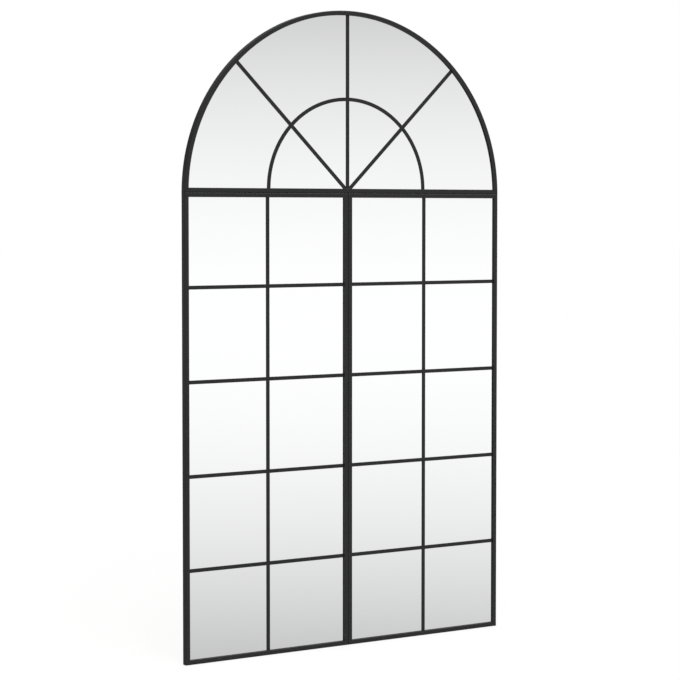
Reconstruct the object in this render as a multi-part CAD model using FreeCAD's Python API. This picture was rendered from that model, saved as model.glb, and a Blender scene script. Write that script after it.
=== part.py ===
import FreeCAD, Part
import functools
import math
import os

# Arched wall mirror built like a steel window: a half-round fanlight above two tall leaves.
# Each of the three is a closed frame of angle iron. In it lie flat glazing strips, a mirror pane
# on foam tape and a hardboard back, held from behind by bent tongues.
# Lengths are in millimetres. X runs to the right, Z up, the front faces -Y and the wall is y = 0.
# The origin is on the wall, midway between the two keyholes that the mirror hangs from.

# Overall sizes
overall_width = 800.0
leaf_height = 1003.7
section_gap = 0.3
cut_overrun = 5.0
offset_tolerance = 0.01

# Angle-iron bars: the lip shows from the front, the leg runs back to the wall
bar_face = 9.0
bar_depth = 15.0
bar_wall = 3.0
bar_edge_chamfer = 0.5

# Flat glazing strips, welded behind the lip
strip_width = 7.2
strip_thickness = 1.2
strip_end_gap = 1.0
row_count = 5
inner_arch_radius = 197.2
spoke_angle = 45.0
spoke_hub_share = 0.5

# Mirror panes, back boards and the tape between lip and glass
glass_thickness = 3.0
board_thickness = 2.5
edge_clearance = 1.5
tape_inset = 0.5
tape_end_gap = 0.4

# Bent tongues that hold each board in its frame
tongue_width = 12.0
tongue_reach = 14.0
tongue_thickness = 1.0
tongue_bend_radius = 0.8
tongue_back_gap = 1.0
stile_tongue_shares = (0.2, 0.5, 0.8)
rail_tongue_shares = (0.5,)
base_tongue_shares = (0.2, 0.5, 0.8)
arch_tongue_angles = (18.0, 54.0, 90.0, 126.0, 162.0)

# Hanger plates with their keyholes
hanger_thickness = 1.5
hanger_drop = 36.0
hanger_margin = 17.0
hanger_corner_radius = 4.0
keyhole_entry_radius = 5.0
keyhole_slot_radius = 2.5
keyhole_rise = 11.0

# Countersunk screws that join the three frames
screw_radius = 1.25
screw_head_radius = 2.3
screw_head_height = 1.2
screw_clearance = 0.08
screw_tip_inset = 0.3
screw_recess_width = 0.6
screw_recess_length = 2.4
screw_recess_depth = 0.7
transom_screw_shares = (0.1, 0.7)
mullion_screw_shares = (0.1, 0.37, 0.63, 0.9)

# Places worked out from the sizes above
half_width = overall_width / 2
front_y = -bar_depth
strip_y = front_y + bar_wall
glass_y = strip_y + strip_thickness
board_y = glass_y + glass_thickness
board_back_y = board_y + board_thickness
screw_y = board_back_y / 2
leaf_top = hanger_drop
leaf_bottom = leaf_top - leaf_height
leaf_inner_x = section_gap / 2
leaf_centre_x = (leaf_inner_x + half_width) / 2
arch_z = leaf_top + section_gap
lip_edge_z = arch_z + bar_face
keyhole_x = half_width - bar_wall - hanger_margin - keyhole_entry_radius
pane_inset = bar_wall + edge_clearance
strip_inset = bar_wall + strip_end_gap
tape_edge_inset = bar_face - tape_inset
along_y = FreeCAD.Vector(0, 1, 0)


def spot(x, z, y=0):
    """Point given by its place in the front view, x and z, and its depth y."""
    return FreeCAD.Vector(x, y, z)


def rounded_face(corners, radii):
    """Flat face through the corners, each rounded by its radius; a radius of 0 leaves it sharp."""
    turns = []
    for i, corner in enumerate(corners):
        back = (corners[i - 1] - corner).normalize()
        ahead = (corners[(i + 1) % len(corners)] - corner).normalize()
        half_angle = back.getAngle(ahead) / 2
        run = radii[i] / math.tan(half_angle)
        bisector = (back + ahead).normalize()
        middle = corner + bisector * (radii[i] / math.sin(half_angle) - radii[i])
        turns.append((corner + back * run, middle, corner + ahead * run))
    edges = []
    for i, (start, middle, end) in enumerate(turns):
        if radii[i] > 0:
            edges.append(Part.Arc(start, middle, end).toShape())
        edges.append(Part.makeLine(end, turns[(i + 1) % len(turns)][0]))
    return Part.Face(Part.Wire(edges))


def plate(outline, y, thickness):
    """Flat plate with an outline of (x, z) points, from depth y towards the wall."""
    corners = [spot(x, z, y) for x, z in outline]
    face = Part.Face(Part.makePolygon(corners + corners[:1]))
    return face.extrude(along_y * thickness)


def oblong(x_range, z_range, y, thickness):
    """Rectangular plate between two x and two z."""
    (x0, x1), (z0, z1) = x_range, z_range
    return plate([(x0, z0), (x1, z0), (x1, z1), (x0, z1)], y, thickness)


def disc(radius, centre_z, y, thickness):
    """Round plate centred on the mirror's middle line."""
    return Part.makeCylinder(radius, thickness, spot(0, centre_z, y), along_y)


def bar_section(corner, inward):
    """Angle-iron section at an outer corner of a frame, with its lip pointing inward."""
    points = [
        (bar_edge_chamfer, 0),
        (bar_face - bar_edge_chamfer, 0),
        (bar_face, bar_edge_chamfer),
        (bar_face, bar_wall),
        (bar_wall, bar_wall),
        (bar_wall, bar_depth),
        (0, bar_depth),
        (0, bar_edge_chamfer),
    ]
    places = [corner + inward * u + along_y * (front_y + d) for u, d in points]
    return Part.Face(Part.makePolygon(places + places[:1]))


def mitre_block(start, end, inward):
    """Block that keeps a bar between its two 45 degree mitres."""
    along = (end - start).normalize()
    out = bar_face + cut_overrun
    corners = [
        start - (inward + along) * cut_overrun,
        end - (inward - along) * cut_overrun,
        end + (inward - along) * out,
        start + (inward + along) * out,
    ]
    outline = [(corner.x, corner.z) for corner in corners]
    return plate(outline, front_y - cut_overrun, bar_depth + 2 * cut_overrun)


def mitred_bar(start, end, inward):
    """Straight angle-iron bar whose outer edge runs from start to end."""
    bar = bar_section(start, inward).extrude(end - start)
    return bar.common(mitre_block(start, end, inward))


def screw_spin(head_point, towards, head_radius, shank_radius, length):
    """Countersunk head and shank along one axis, from the head's flat top."""
    head = Part.makeCone(head_radius, shank_radius, screw_head_height, head_point, towards)
    shank = Part.makeCylinder(shank_radius, length, head_point, towards)
    return head.fuse(shank).removeSplitter()


def screw(head_point, towards):
    """Countersunk screw with a cross recess, its tip just inside the second leg."""
    length = 2 * bar_wall + section_gap - screw_tip_inset
    shape = screw_spin(head_point, towards, screw_head_radius, screw_radius, length)
    for turn in (0, 90):
        slot = Part.makeBox(screw_recess_length, screw_recess_width, screw_recess_depth + cut_overrun)
        slot.translate(FreeCAD.Vector(-screw_recess_length, -screw_recess_width, 0) / 2)
        slot.rotate(FreeCAD.Vector(), FreeCAD.Vector(0, 0, 1), turn)
        slot.translate(FreeCAD.Vector(0, 0, -cut_overrun))
        to_axis = FreeCAD.Rotation(FreeCAD.Vector(0, 0, 1), towards)
        slot.Placement = FreeCAD.Placement(head_point, to_axis).multiply(slot.Placement)
        shape = shape.cut(slot)
    return shape


def screw_hole(head_point, towards):
    """Countersunk hole through both legs that a screw joins."""
    length = 2 * bar_wall + section_gap + cut_overrun
    head_radius = screw_head_radius + screw_clearance
    return screw_spin(head_point, towards, head_radius, screw_radius + screw_clearance, length)


def tongue(seat, inward):
    """Bent tongue: one leg on the frame at seat, the other pressed on the board."""
    sideways = inward.cross(along_y)
    points = [
        (0, board_back_y),
        (tongue_reach, board_back_y),
        (tongue_reach, board_back_y + tongue_thickness),
        (tongue_thickness, board_back_y + tongue_thickness),
        (tongue_thickness, -tongue_back_gap),
        (0, -tongue_back_gap),
    ]
    radii = [tongue_bend_radius + tongue_thickness, 0, 0, tongue_bend_radius, 0, 0]
    start = seat - sideways * (tongue_width / 2)
    face = rounded_face([start + inward * u + along_y * y for u, y in points], radii)
    return face.extrude(sideways * tongue_width)


def transom_screw_places():
    """Head points of the screws that stand in the fanlight's base rail."""
    span = half_width - leaf_inner_x
    offsets = [leaf_inner_x + span * share for share in transom_screw_shares]
    return [spot(side * x, arch_z + bar_wall, screw_y) for side in (-1, 1) for x in offsets]


def mullion_screw_places():
    """Head points of the screws that stand in the left leaf's inner stile."""
    return [
        spot(-leaf_inner_x - bar_wall, leaf_top - leaf_height * share, screw_y)
        for share in mullion_screw_shares
    ]


down = spot(0, -1)
up = spot(0, 1)
rightward = spot(1, 0)
transom_screws = [screw(place, down) for place in transom_screw_places()]
mullion_screws = [screw(place, rightward) for place in mullion_screw_places()]
screw_holes = Part.makeCompound(
    [screw_hole(place, down) for place in transom_screw_places()]
    + [screw_hole(place, rightward) for place in mullion_screw_places()]
)


def fan_field(inset, y, thickness):
    """Half-round plate that stays inset from the fanlight's outer edge."""
    whole = disc(half_width - inset, arch_z, y, thickness)
    above = (arch_z + inset, arch_z + overall_width)
    return whole.common(oblong((-overall_width, overall_width), above, y, thickness))


def leaf_field(side, inset, y, thickness):
    """Rectangular plate that stays inset from a leaf's outer edge."""
    ends = sorted((side * (leaf_inner_x + inset), side * (half_width - inset)))
    return oblong(ends, (leaf_bottom + inset, leaf_top - inset), y, thickness)


def fan_bars():
    """Arch bar and base rail, mitred together at the springing."""
    left, right = spot(-half_width, arch_z), spot(half_width, arch_z)
    past_springing = math.degrees(cut_overrun / overall_width)
    section = bar_section(right, -rightward)
    section.rotate(spot(0, arch_z), along_y, past_springing)
    arch = section.revolve(spot(0, arch_z), -along_y, 180 + 2 * past_springing)
    base = mitred_bar(left, right, up).cut(screw_holes)
    return {
        "fan_arch_bar": arch.cut(mitre_block(left, right, up)),
        "fan_base_rail": base,
    }


def spoke_strip(angle):
    """Flat strip from the hub in the base rail, turned from upright by an angle."""
    hub_z = arch_z + bar_face * spoke_hub_share
    half = strip_width / 2
    strip = oblong((-half, half), (hub_z - bar_face, hub_z + overall_width), strip_y, strip_thickness)
    strip.rotate(spot(0, hub_z), along_y, angle)
    return strip.common(fan_field(strip_inset, strip_y, strip_thickness))


def fan_strips():
    """Three spokes, and the inner arch in lengths between them."""
    centre = spoke_strip(0)
    half = strip_width / 2
    side_fields = [
        oblong((-overall_width, -half), (arch_z, arch_z + overall_width), strip_y, strip_thickness),
        oblong((half, overall_width), (arch_z, arch_z + overall_width), strip_y, strip_thickness),
    ]
    left = spoke_strip(-spoke_angle).common(side_fields[0])
    right = spoke_strip(spoke_angle).common(side_fields[1])
    foot_z = arch_z + strip_inset
    outer = inner_arch_radius + half
    inner = inner_arch_radius - half
    across = (-overall_width, overall_width)
    above = oblong(across, (lip_edge_z, lip_edge_z + overall_width), strip_y, strip_thickness)
    hoop = disc(outer, lip_edge_z, strip_y, strip_thickness)
    hoop = hoop.cut(disc(inner, lip_edge_z, strip_y, strip_thickness)).common(above)
    for ends in ((-outer, -inner), (inner, outer)):
        hoop = hoop.fuse(oblong(ends, (foot_z, lip_edge_z), strip_y, strip_thickness))
    lengths = hoop.removeSplitter().cut([left, centre, right]).Solids
    lengths.sort(key=lambda solid: solid.CenterOfMass.x)
    strips = {"fan_spoke_left": left, "fan_spoke_centre": centre, "fan_spoke_right": right}
    for i, solid in enumerate(lengths):
        strips[f"fan_inner_arch_{i + 1}"] = solid
    return strips


def fan_tongues():
    """Tongues around the arch and along the base rail."""
    seat_radius = half_width - bar_wall
    flat_radius = math.sqrt(seat_radius**2 - (tongue_width / 2) ** 2)
    tongues = []
    for angle in arch_tongue_angles:
        turn = math.radians(angle)
        outward = spot(math.cos(turn), math.sin(turn))
        tongues.append(tongue(spot(0, arch_z) + outward * flat_radius, -outward))
    for share in base_tongue_shares:
        tongues.append(tongue(spot(overall_width * share - half_width, arch_z + bar_wall), up))
    return tongues


def leaf_bars(side, name):
    """Four mitred bars of one leaf."""
    outer_top, outer_foot = spot(side * half_width, leaf_top), spot(side * half_width, leaf_bottom)
    inner_top, inner_foot = spot(side * leaf_inner_x, leaf_top), spot(side * leaf_inner_x, leaf_bottom)
    return {
        f"{name}_outer_stile": mitred_bar(outer_top, outer_foot, rightward * -side),
        f"{name}_inner_stile": mitred_bar(inner_top, inner_foot, rightward * side).cut(screw_holes),
        f"{name}_top_rail": mitred_bar(inner_top, outer_top, down).cut(screw_holes),
        f"{name}_bottom_rail": mitred_bar(inner_foot, outer_foot, up),
    }


def leaf_strips(side, name):
    """Vertical strip of one leaf, and the cross strips that butt against it."""
    half = strip_width / 2
    inner_end, outer_end = leaf_inner_x + strip_inset, half_width - strip_inset
    upright = sorted((side * (leaf_centre_x - half), side * (leaf_centre_x + half)))
    heights = (leaf_bottom + strip_inset, leaf_top - strip_inset)
    strips = {f"{name}_vertical_bar": oblong(upright, heights, strip_y, strip_thickness)}
    spans = {
        "inner": (inner_end, leaf_centre_x - half),
        "outer": (leaf_centre_x + half, outer_end),
    }
    for row in range(1, row_count):
        z = leaf_top - leaf_height * row / row_count
        for place, span in spans.items():
            ends = sorted(side * x for x in span)
            bar = oblong(ends, (z - half, z + half), strip_y, strip_thickness)
            strips[f"{name}_cross_bar_{row}_{place}"] = bar
    return strips


def leaf_tongues(side):
    """Tongues along the stiles and rails of one leaf."""
    seats = []
    for share in stile_tongue_shares:
        z = leaf_top - leaf_height * share
        seats.append((spot(side * (half_width - bar_wall), z), rightward * -side))
        seats.append((spot(side * (leaf_inner_x + bar_wall), z), rightward * side))
    for share in rail_tongue_shares:
        x = side * (leaf_inner_x + (half_width - leaf_inner_x) * share)
        seats.append((spot(x, leaf_top - bar_wall), down))
        seats.append((spot(x, leaf_bottom + bar_wall), up))
    return [tongue(seat, inward) for seat, inward in seats]


def hanger_plate(side):
    """Plate in a leaf's upper outer corner, with a keyhole whose entry is at z = 0."""
    reach = keyhole_entry_radius + hanger_margin
    x0, x1 = sorted((side * (keyhole_x - reach), side * (keyhole_x + reach)))
    z0, z1 = -reach, leaf_top - bar_wall
    y = -hanger_thickness
    corners = [spot(x0, z0, y), spot(x1, z0, y), spot(x1, z1, y), spot(x0, z1, y)]
    blank = rounded_face(corners, [hanger_corner_radius] * len(corners)).extrude(along_y * hanger_thickness)
    entry_point = spot(side * keyhole_x, 0, y)
    slot_point = spot(side * keyhole_x, keyhole_rise, y)
    entry = Part.makeCylinder(keyhole_entry_radius, hanger_thickness, entry_point, along_y)
    slot_end = Part.makeCylinder(keyhole_slot_radius, hanger_thickness, slot_point, along_y)
    edges = (side * keyhole_x - keyhole_slot_radius, side * keyhole_x + keyhole_slot_radius)
    slot = oblong(edges, (0, keyhole_rise), y, hanger_thickness)
    return blank.cut([entry, slot, slot_end])


def glazing_tape(field, strips):
    """Tape along a frame's lip, in lengths that end just short of the strips behind it."""
    ring = field(pane_inset, strip_y, strip_thickness).cut(field(tape_edge_inset, strip_y, strip_thickness))
    room = [strip.makeOffsetShape(tape_end_gap, offset_tolerance, join=2) for strip in strips]
    return ring.cut(room)


def lay_up(name, field, strips, tongues):
    """Tape, mirror pane, back board and tongues of one frame."""
    return {
        f"{name}_glazing_tape": glazing_tape(field, strips),
        f"{name}_mirror": field(pane_inset, glass_y, glass_thickness),
        f"{name}_back_board": field(pane_inset, board_y, board_thickness),
        f"{name}_retaining_tongues": Part.makeCompound(tongues),
    }


nodes = {
    "transom_screws": Part.makeCompound(transom_screws),
    "mullion_screws": Part.makeCompound(mullion_screws),
}
strips_of_fan = fan_strips()
nodes.update(fan_bars())
nodes.update(strips_of_fan)
nodes.update(lay_up("fan", fan_field, strips_of_fan.values(), fan_tongues()))
for leaf_name, leaf_side in (("left", -1), ("right", 1)):
    strips_of_leaf = leaf_strips(leaf_side, leaf_name)
    field_of_leaf = functools.partial(leaf_field, leaf_side)
    nodes.update(leaf_bars(leaf_side, leaf_name))
    nodes.update(strips_of_leaf)
    nodes.update(lay_up(leaf_name, field_of_leaf, strips_of_leaf.values(), leaf_tongues(leaf_side)))
    nodes[f"{leaf_name}_hanger_plate"] = hanger_plate(leaf_side)

os.makedirs("parts", exist_ok=True)
for node_name, shape in nodes.items():
    shape.exportStep(f"parts/{node_name}.step")
    print(f"{node_name}: {len(shape.Solids)} solids, {shape.Volume:.0f} mm3, valid {shape.isValid()}")
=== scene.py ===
# %% [markdown]
# This lesson dresses an arched wall mirror that is made like a steel window. A half-round fanlight stands
# on two tall leaves, and each of the three is a closed frame of black angle iron with flat glazing strips,
# a silvered pane and a hardboard back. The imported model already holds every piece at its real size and
# place. It could be shown as it is with better materials, but its sharp edges catch no light. So finer
# meshes are built over the same places, and the model stays as the frame that they are measured from.

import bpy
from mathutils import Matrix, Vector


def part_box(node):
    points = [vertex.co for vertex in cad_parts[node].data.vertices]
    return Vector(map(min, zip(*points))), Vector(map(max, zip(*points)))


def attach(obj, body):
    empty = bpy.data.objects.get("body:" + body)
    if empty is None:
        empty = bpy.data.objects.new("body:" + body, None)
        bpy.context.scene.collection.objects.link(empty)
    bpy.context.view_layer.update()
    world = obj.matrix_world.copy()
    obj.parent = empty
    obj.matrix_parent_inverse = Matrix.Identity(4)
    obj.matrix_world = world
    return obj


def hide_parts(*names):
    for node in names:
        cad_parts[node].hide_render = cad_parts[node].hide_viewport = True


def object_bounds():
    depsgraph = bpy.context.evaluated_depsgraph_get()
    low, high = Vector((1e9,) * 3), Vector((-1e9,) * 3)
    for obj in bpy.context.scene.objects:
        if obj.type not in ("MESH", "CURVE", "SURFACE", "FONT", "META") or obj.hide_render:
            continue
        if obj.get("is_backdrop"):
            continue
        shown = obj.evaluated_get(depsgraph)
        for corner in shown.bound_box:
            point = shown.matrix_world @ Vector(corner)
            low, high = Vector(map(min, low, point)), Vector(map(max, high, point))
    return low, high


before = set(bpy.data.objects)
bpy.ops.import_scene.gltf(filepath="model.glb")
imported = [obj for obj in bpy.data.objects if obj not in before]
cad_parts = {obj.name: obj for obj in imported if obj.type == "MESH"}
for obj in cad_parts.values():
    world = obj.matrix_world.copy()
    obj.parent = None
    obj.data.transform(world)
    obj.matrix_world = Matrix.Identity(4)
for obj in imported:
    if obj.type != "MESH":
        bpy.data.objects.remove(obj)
cad_low, cad_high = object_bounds()
print("frame:", len(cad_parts), "nodes, box from", cad_low[:], "to", cad_high[:])

# %% [markdown]
# Blender works in metres, here with X to the right, Z up and the wall behind the mirror at y = 0. A maker
# thinks in millimetres, and sizes could be typed in again, but a number that is kept twice can come to
# differ. So the sizes of bars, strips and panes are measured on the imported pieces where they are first
# needed, and only what a box can't tell, such as a radius, is written down in millimetres.

# %% Units
import math

import bmesh
import bpy
from mathutils import Vector

MM = 0.001
mirror_size = (cad_high - cad_low) / MM
print(f"mirror {mirror_size.x:.0f} mm wide, {mirror_size.z:.0f} mm high, {mirror_size.y:.0f} mm deep")

# %% [markdown]
# Colours are written as sRGB hex values, the way a colour picker shows them, and the marks of a pattern by
# the size that a ruler would give on the real surface. Shaders count in linear light and in marks per
# metre. All this could be worked out by hand, but then nobody could compare the numbers with the real
# thing. So two small functions do it.

# %% Colours and sizes of patterns


def linear(hex_colour):
    """Linear RGBA of an sRGB hex colour."""
    shares = [int(hex_colour[i : i + 2], 16) / 255 for i in (1, 3, 5)]
    curve = [s / 12.92 if s <= 0.04045 else ((s + 0.055) / 1.055) ** 2.4 for s in shares]
    return (*curve, 1.0)


def per(size):
    """Texture scale whose marks are about that long."""
    return 1 / size


print("a mid grey in linear light:", [round(channel, 3) for channel in linear("#808080")])

# %% [markdown]
# A material is a tree of nodes. It could be drawn in the shader editor, but a script can be read line by
# line and run again. One function adds any node, for shaders and for Geometry Nodes alike: its settings,
# the values of its inputs, and what feeds them. Where a node feeds another, its first output in use is
# meant. Patterns follow Object coordinates, which stay with a piece wherever it goes.

# %% Nodes and materials


def source_of(feeder):
    """Output socket of a feeder, which is that socket itself or a node."""
    if isinstance(feeder, bpy.types.Node):
        return next(socket for socket in feeder.outputs if socket.enabled)
    return feeder


def feed(tree, node, values=None, links=None):
    """Gives a node's inputs, found by name or by place, their values and their feeders."""
    for socket, value in (values or {}).items():
        node.inputs[socket].default_value = value
    for socket, feeder in (links or {}).items():
        tree.links.new(source_of(feeder), node.inputs[socket])
    return node


def add(tree, kind, values=None, links=None, **settings):
    """Adds a node with its settings, the values of its inputs and what feeds them."""
    node = tree.nodes.new(kind)
    for name, value in settings.items():
        setattr(node, name, value)
    return feed(tree, node, values, links)


def new_material(name):
    """New material: itself, its tree, its surface shader and the place that its patterns follow."""
    material = bpy.data.materials.new(name)
    material.use_nodes = True
    tree = material.node_tree
    place = add(tree, "ShaderNodeTexCoord").outputs["Object"]
    return material, tree, tree.nodes["Principled BSDF"], place


print("nodes and sockets are named as in Blender", bpy.app.version_string)

# %% [markdown]
# Bars, strips, tongues and plates are steel with a satin black powder coat. The powder is sprayed on dry
# and baked, so it flows into a skin that is even in colour but faintly dimpled, like orange peel. A plain
# dark shader would look much the same from across the room, but close up its light would run without a
# break. So slow noise makes tone and sheen a little uneven, and finer noise raises the dimples as a bump.

# %% Satin black powder coat
noise_span = {"From Min": 0.3, "From Max": 0.7}  # a noise seldom leaves this range


def powder_coat(name, dark, light):
    """Satin black powder coat: the eye sees a deep grey-black with a soft, slightly uneven sheen."""
    cloud_size = 90 * MM
    peel_size = 4 * MM  # the real peel is about 1 mm, drawn coarser so that it shows
    peel_height = 0.08 * MM
    shiny, dull = 0.36, 0.46
    material, tree, surface, place = new_material(name)
    cloud = add(tree, "ShaderNodeTexNoise", {"Scale": per(cloud_size), "Detail": 3.0}, {"Vector": place})
    peel = add(tree, "ShaderNodeTexNoise", {"Scale": per(peel_size), "Detail": 1.0}, {"Vector": place})
    tones = {"A": linear(dark), "B": linear(light)}
    tone = add(tree, "ShaderNodeMix", tones, {"Factor": cloud}, data_type="RGBA")
    sheen = add(tree, "ShaderNodeMapRange", {**noise_span, "To Min": shiny, "To Max": dull}, {"Value": cloud})
    dimples = add(tree, "ShaderNodeBump", {"Strength": 0.7, "Distance": peel_height}, {"Height": peel})
    looks = {"Base Color": tone, "Roughness": sheen, "Normal": dimples}
    feed(tree, surface, {"Specular IOR Level": 0.36}, looks)
    return material


bar_paint = powder_coat("powder_coat_frame_bars", "#121213", "#19191a")
strip_paint = powder_coat("powder_coat_glazing_strips", "#101011", "#161617")
sheet_paint = powder_coat("powder_coat_sheet_steel", "#161617", "#1f1f20")
print("powder coats:", bar_paint.name, strip_paint.name, sheet_paint.name)

# %% [markdown]
# A mirror pane is float glass with silver and protective paint on its back. From the front the eye sees
# only what the silver reflects, a touch cool from the iron in the glass. It could be built as it is, clear
# glass over a silver sheet, but every ray would then go twice through the glass, which costs noise and
# shows nothing more at this size. So the front face is a polished metal with a faint tint, and a haze from
# wiping that hardly changes its roughness.

# %% Silvered float glass


def silvered_glass():
    """Silvered float glass: the eye sees a clear, near-white reflection, a touch cool, barely hazy."""
    tint_size = 350 * MM
    wipe_size = 60 * MM
    wipe_stretch = (1.0, 1.0, 0.25)  # a cloth goes up and down, so its marks are four times as high
    haze_span = {"From Min": 0.35, "From Max": 0.75}
    clear, hazy = 0.004, 0.014
    material, tree, surface, place = new_material("silvered_float_glass")
    drift = add(tree, "ShaderNodeTexNoise", {"Scale": per(tint_size), "Detail": 1.0}, {"Vector": place})
    wiped = add(tree, "ShaderNodeMapping", {"Scale": wipe_stretch}, {"Vector": place})
    wipes = {"Scale": per(wipe_size), "Detail": 4.0, "Roughness": 0.6}
    haze = add(tree, "ShaderNodeTexNoise", wipes, {"Vector": wiped})
    tints = {"A": linear("#fcfdfd"), "B": linear("#fefefe")}
    tint = add(tree, "ShaderNodeMix", tints, {"Factor": drift}, data_type="RGBA")
    polish = add(tree, "ShaderNodeMapRange", {**haze_span, "To Min": clear, "To Max": hazy}, {"Value": haze})
    feed(tree, surface, {"Metallic": 1.0}, {"Base Color": tint, "Roughness": polish})
    return material


pane_front = silvered_glass()
print("front of the panes:", pane_front.name)

# %% [markdown]
# The edge of a pane is cut and ground. Light that runs inside the sheet comes out there, so the eye sees
# the pale green of the glass, matt and finely streaked. Real glass with a green volume would give that too,
# but the edge is three millimetres wide and hides behind the lip. So a matt green with streaks is enough.

# %% Ground glass edge


def ground_edge():
    """Ground glass edge: the eye sees a matt, pale green with fine streaks from the wheel."""
    streak_size = 2 * MM
    material, tree, surface, place = new_material("ground_glass_edge")
    streak = add(tree, "ShaderNodeTexNoise", {"Scale": per(streak_size), "Detail": 2.0}, {"Vector": place})
    tones = {"A": linear("#7fa594"), "B": linear("#a9c6b8")}
    tone = add(tree, "ShaderNodeMix", tones, {"Factor": streak}, data_type="RGBA")
    feed(tree, surface, {"Roughness": 0.45, "IOR": 1.52}, {"Base Color": tone})
    return material


pane_edge = ground_edge()
print("edge of the panes:", pane_edge.name)

# %% [markdown]
# The silver on a pane's back is sealed with grey paint, which a roller leaves matt and finely pebbled. The
# board hides it on the finished mirror, and it could be left out, but a pane that is taken out and turned
# round should still look right. So it is a plain paint with one noise for both its tone and its pebble.

# %% Mirror backing paint


def backing_paint():
    """Mirror backing paint: the eye sees a matt blue-grey with a fine pebble."""
    pebble_size = 4 * MM
    pebble_height = 0.05 * MM
    material, tree, surface, place = new_material("mirror_backing_paint")
    pebble = add(tree, "ShaderNodeTexNoise", {"Scale": per(pebble_size), "Detail": 2.0}, {"Vector": place})
    tones = {"A": linear("#56605f"), "B": linear("#687271")}
    tone = add(tree, "ShaderNodeMix", tones, {"Factor": pebble}, data_type="RGBA")
    bump = add(tree, "ShaderNodeBump", {"Strength": 0.4, "Distance": pebble_height}, {"Height": pebble})
    feed(tree, surface, {"Roughness": 0.7}, {"Base Color": tone, "Normal": bump})
    return material


pane_finishes = [pane_front, pane_edge, backing_paint()]
print("pane finishes:", [finish.name for finish in pane_finishes])

# %% [markdown]
# The back of each frame is closed with hardboard: wood fibres that were pressed wet against a wire screen.
# The eye sees a warm brown sheet with darker and paler fibres, slow stains from the press, and the print of
# the screen. A photograph of a board could be laid on, but it would repeat and its scale would be a guess.
# So stretched noise makes the fibres, slow noise the stains, and two crossed waves the screen. The waves
# darken the colour in the screen's dents and lighten it on its ridges, partly its print and partly painted
# shade.

# %% Hardboard with its screen print
bands_per_metre = 20 / (2 * math.pi)  # of a Wave texture with a scale of 1


def hardboard():
    """Screen-backed hardboard: the eye sees a warm, fibrous brown with a faint woven print and painted shade
    in its dents.
    """
    stain_size = 160 * MM
    fibre_size = 9 * MM
    fibre_stretch = (1.0, 1.0, 4.0)  # pressed fibres lie more level than upright
    screen_pitch = 5 * MM  # a real screen has about 1.5 mm, drawn coarser so that it shows
    screen_height = 0.15 * MM
    dark_fibre, pale_fibre = 0.72, 1.22
    dark_dent, pale_dent = 0.9, 1.04
    material, tree, surface, place = new_material("screen_backed_hardboard")
    stain = add(tree, "ShaderNodeTexNoise", {"Scale": per(stain_size), "Detail": 4.0}, {"Vector": place})
    browns = {"A": linear("#6f4c30"), "B": linear("#8a6342")}
    brown = add(tree, "ShaderNodeMix", browns, {"Factor": stain}, data_type="RGBA")
    drawn = add(tree, "ShaderNodeMapping", {"Scale": fibre_stretch}, {"Vector": place})
    fibres = {"Scale": per(fibre_size), "Detail": 6.0, "Roughness": 0.7, "Distortion": 0.6}
    fibre = add(tree, "ShaderNodeTexNoise", fibres, {"Vector": drawn})
    fleck_span = {**noise_span, "To Min": dark_fibre, "To Max": pale_fibre}
    fleck = add(tree, "ShaderNodeMapRange", fleck_span, {"Value": fibre})
    wires = {"Scale": per(screen_pitch) / bands_per_metre, "Distortion": 0.4}
    waves = [
        add(tree, "ShaderNodeTexWave", wires, {"Vector": place}, bands_direction=way).outputs["Fac"]
        for way in ("X", "Z")
    ]
    screen = add(tree, "ShaderNodeMath", links={0: waves[0], 1: waves[1]}, operation="MAXIMUM")
    # Painted shade: the colour is darker in the screen's dents and paler on its ridges, partly print and
    # partly shade.
    screen_print_and_dent_shade = add(tree, "ShaderNodeMapRange", {"To Min": dark_dent, "To Max": pale_dent}, {"Value": screen})
    share = add(tree, "ShaderNodeMath", links={0: fleck, 1: screen_print_and_dent_shade}, operation="MULTIPLY")
    colour = add(
        tree,
        "ShaderNodeMix",
        {"Factor": 1.0},
        {"A": brown, "B": share},
        data_type="RGBA",
        blend_type="MULTIPLY",
    )
    bump = add(tree, "ShaderNodeBump", {"Strength": 0.5, "Distance": screen_height}, {"Height": screen})
    feed(tree, surface, {"Roughness": 0.68}, {"Base Color": colour, "Normal": bump})
    return material


board_finish = hardboard()
print("board finish:", board_finish.name)

# %% [markdown]
# The tape between lip and glass is black closed-cell foam, matt, with cut pores all over it. The pores
# could be modelled as dents, but there are many thousands on a strip that hardly shows. So a Voronoi
# texture, which draws cells side by side like bubbles, gives each its depth and darkens its middle as
# painted shade.

# %% Closed-cell foam


def closed_cell_foam():
    """Closed-cell foam: the eye sees a matt black with a fine pattern of pores, their middles darkened by
    painted shade.
    """
    pore_size = 0.8 * MM  # real pores are about 0.3 mm, drawn coarser so that they show
    pore_depth = 0.1 * MM
    material, tree, surface, place = new_material("closed_cell_foam")
    pore_depth_and_shade = add(tree, "ShaderNodeTexVoronoi", {"Scale": per(pore_size)}, {"Vector": place})
    tones = {"A": linear("#0e0e0e"), "B": linear("#1c1c1c")}
    # Painted shade: each pore is darker towards its middle, where its bump is deepest.
    tone = add(tree, "ShaderNodeMix", tones, {"Factor": pore_depth_and_shade}, data_type="RGBA")
    bump = add(tree, "ShaderNodeBump", {"Strength": 0.6, "Distance": pore_depth}, {"Height": pore_depth_and_shade})
    feed(tree, surface, {"Roughness": 0.9}, {"Base Color": tone, "Normal": bump})
    return material


tape_finish = closed_cell_foam()
print("tape finish:", tape_finish.name)

# %% [markdown]
# The joining screws are steel with a black zinc plating, a dark metal under a thin film whose gloss changes
# from patch to patch. Paint would be the easy way, but paint has a white sheen and plating a dark one. So
# this is a metal with a dark colour, and one noise moves both its tone and its roughness.

# %% Black zinc plating


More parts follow.
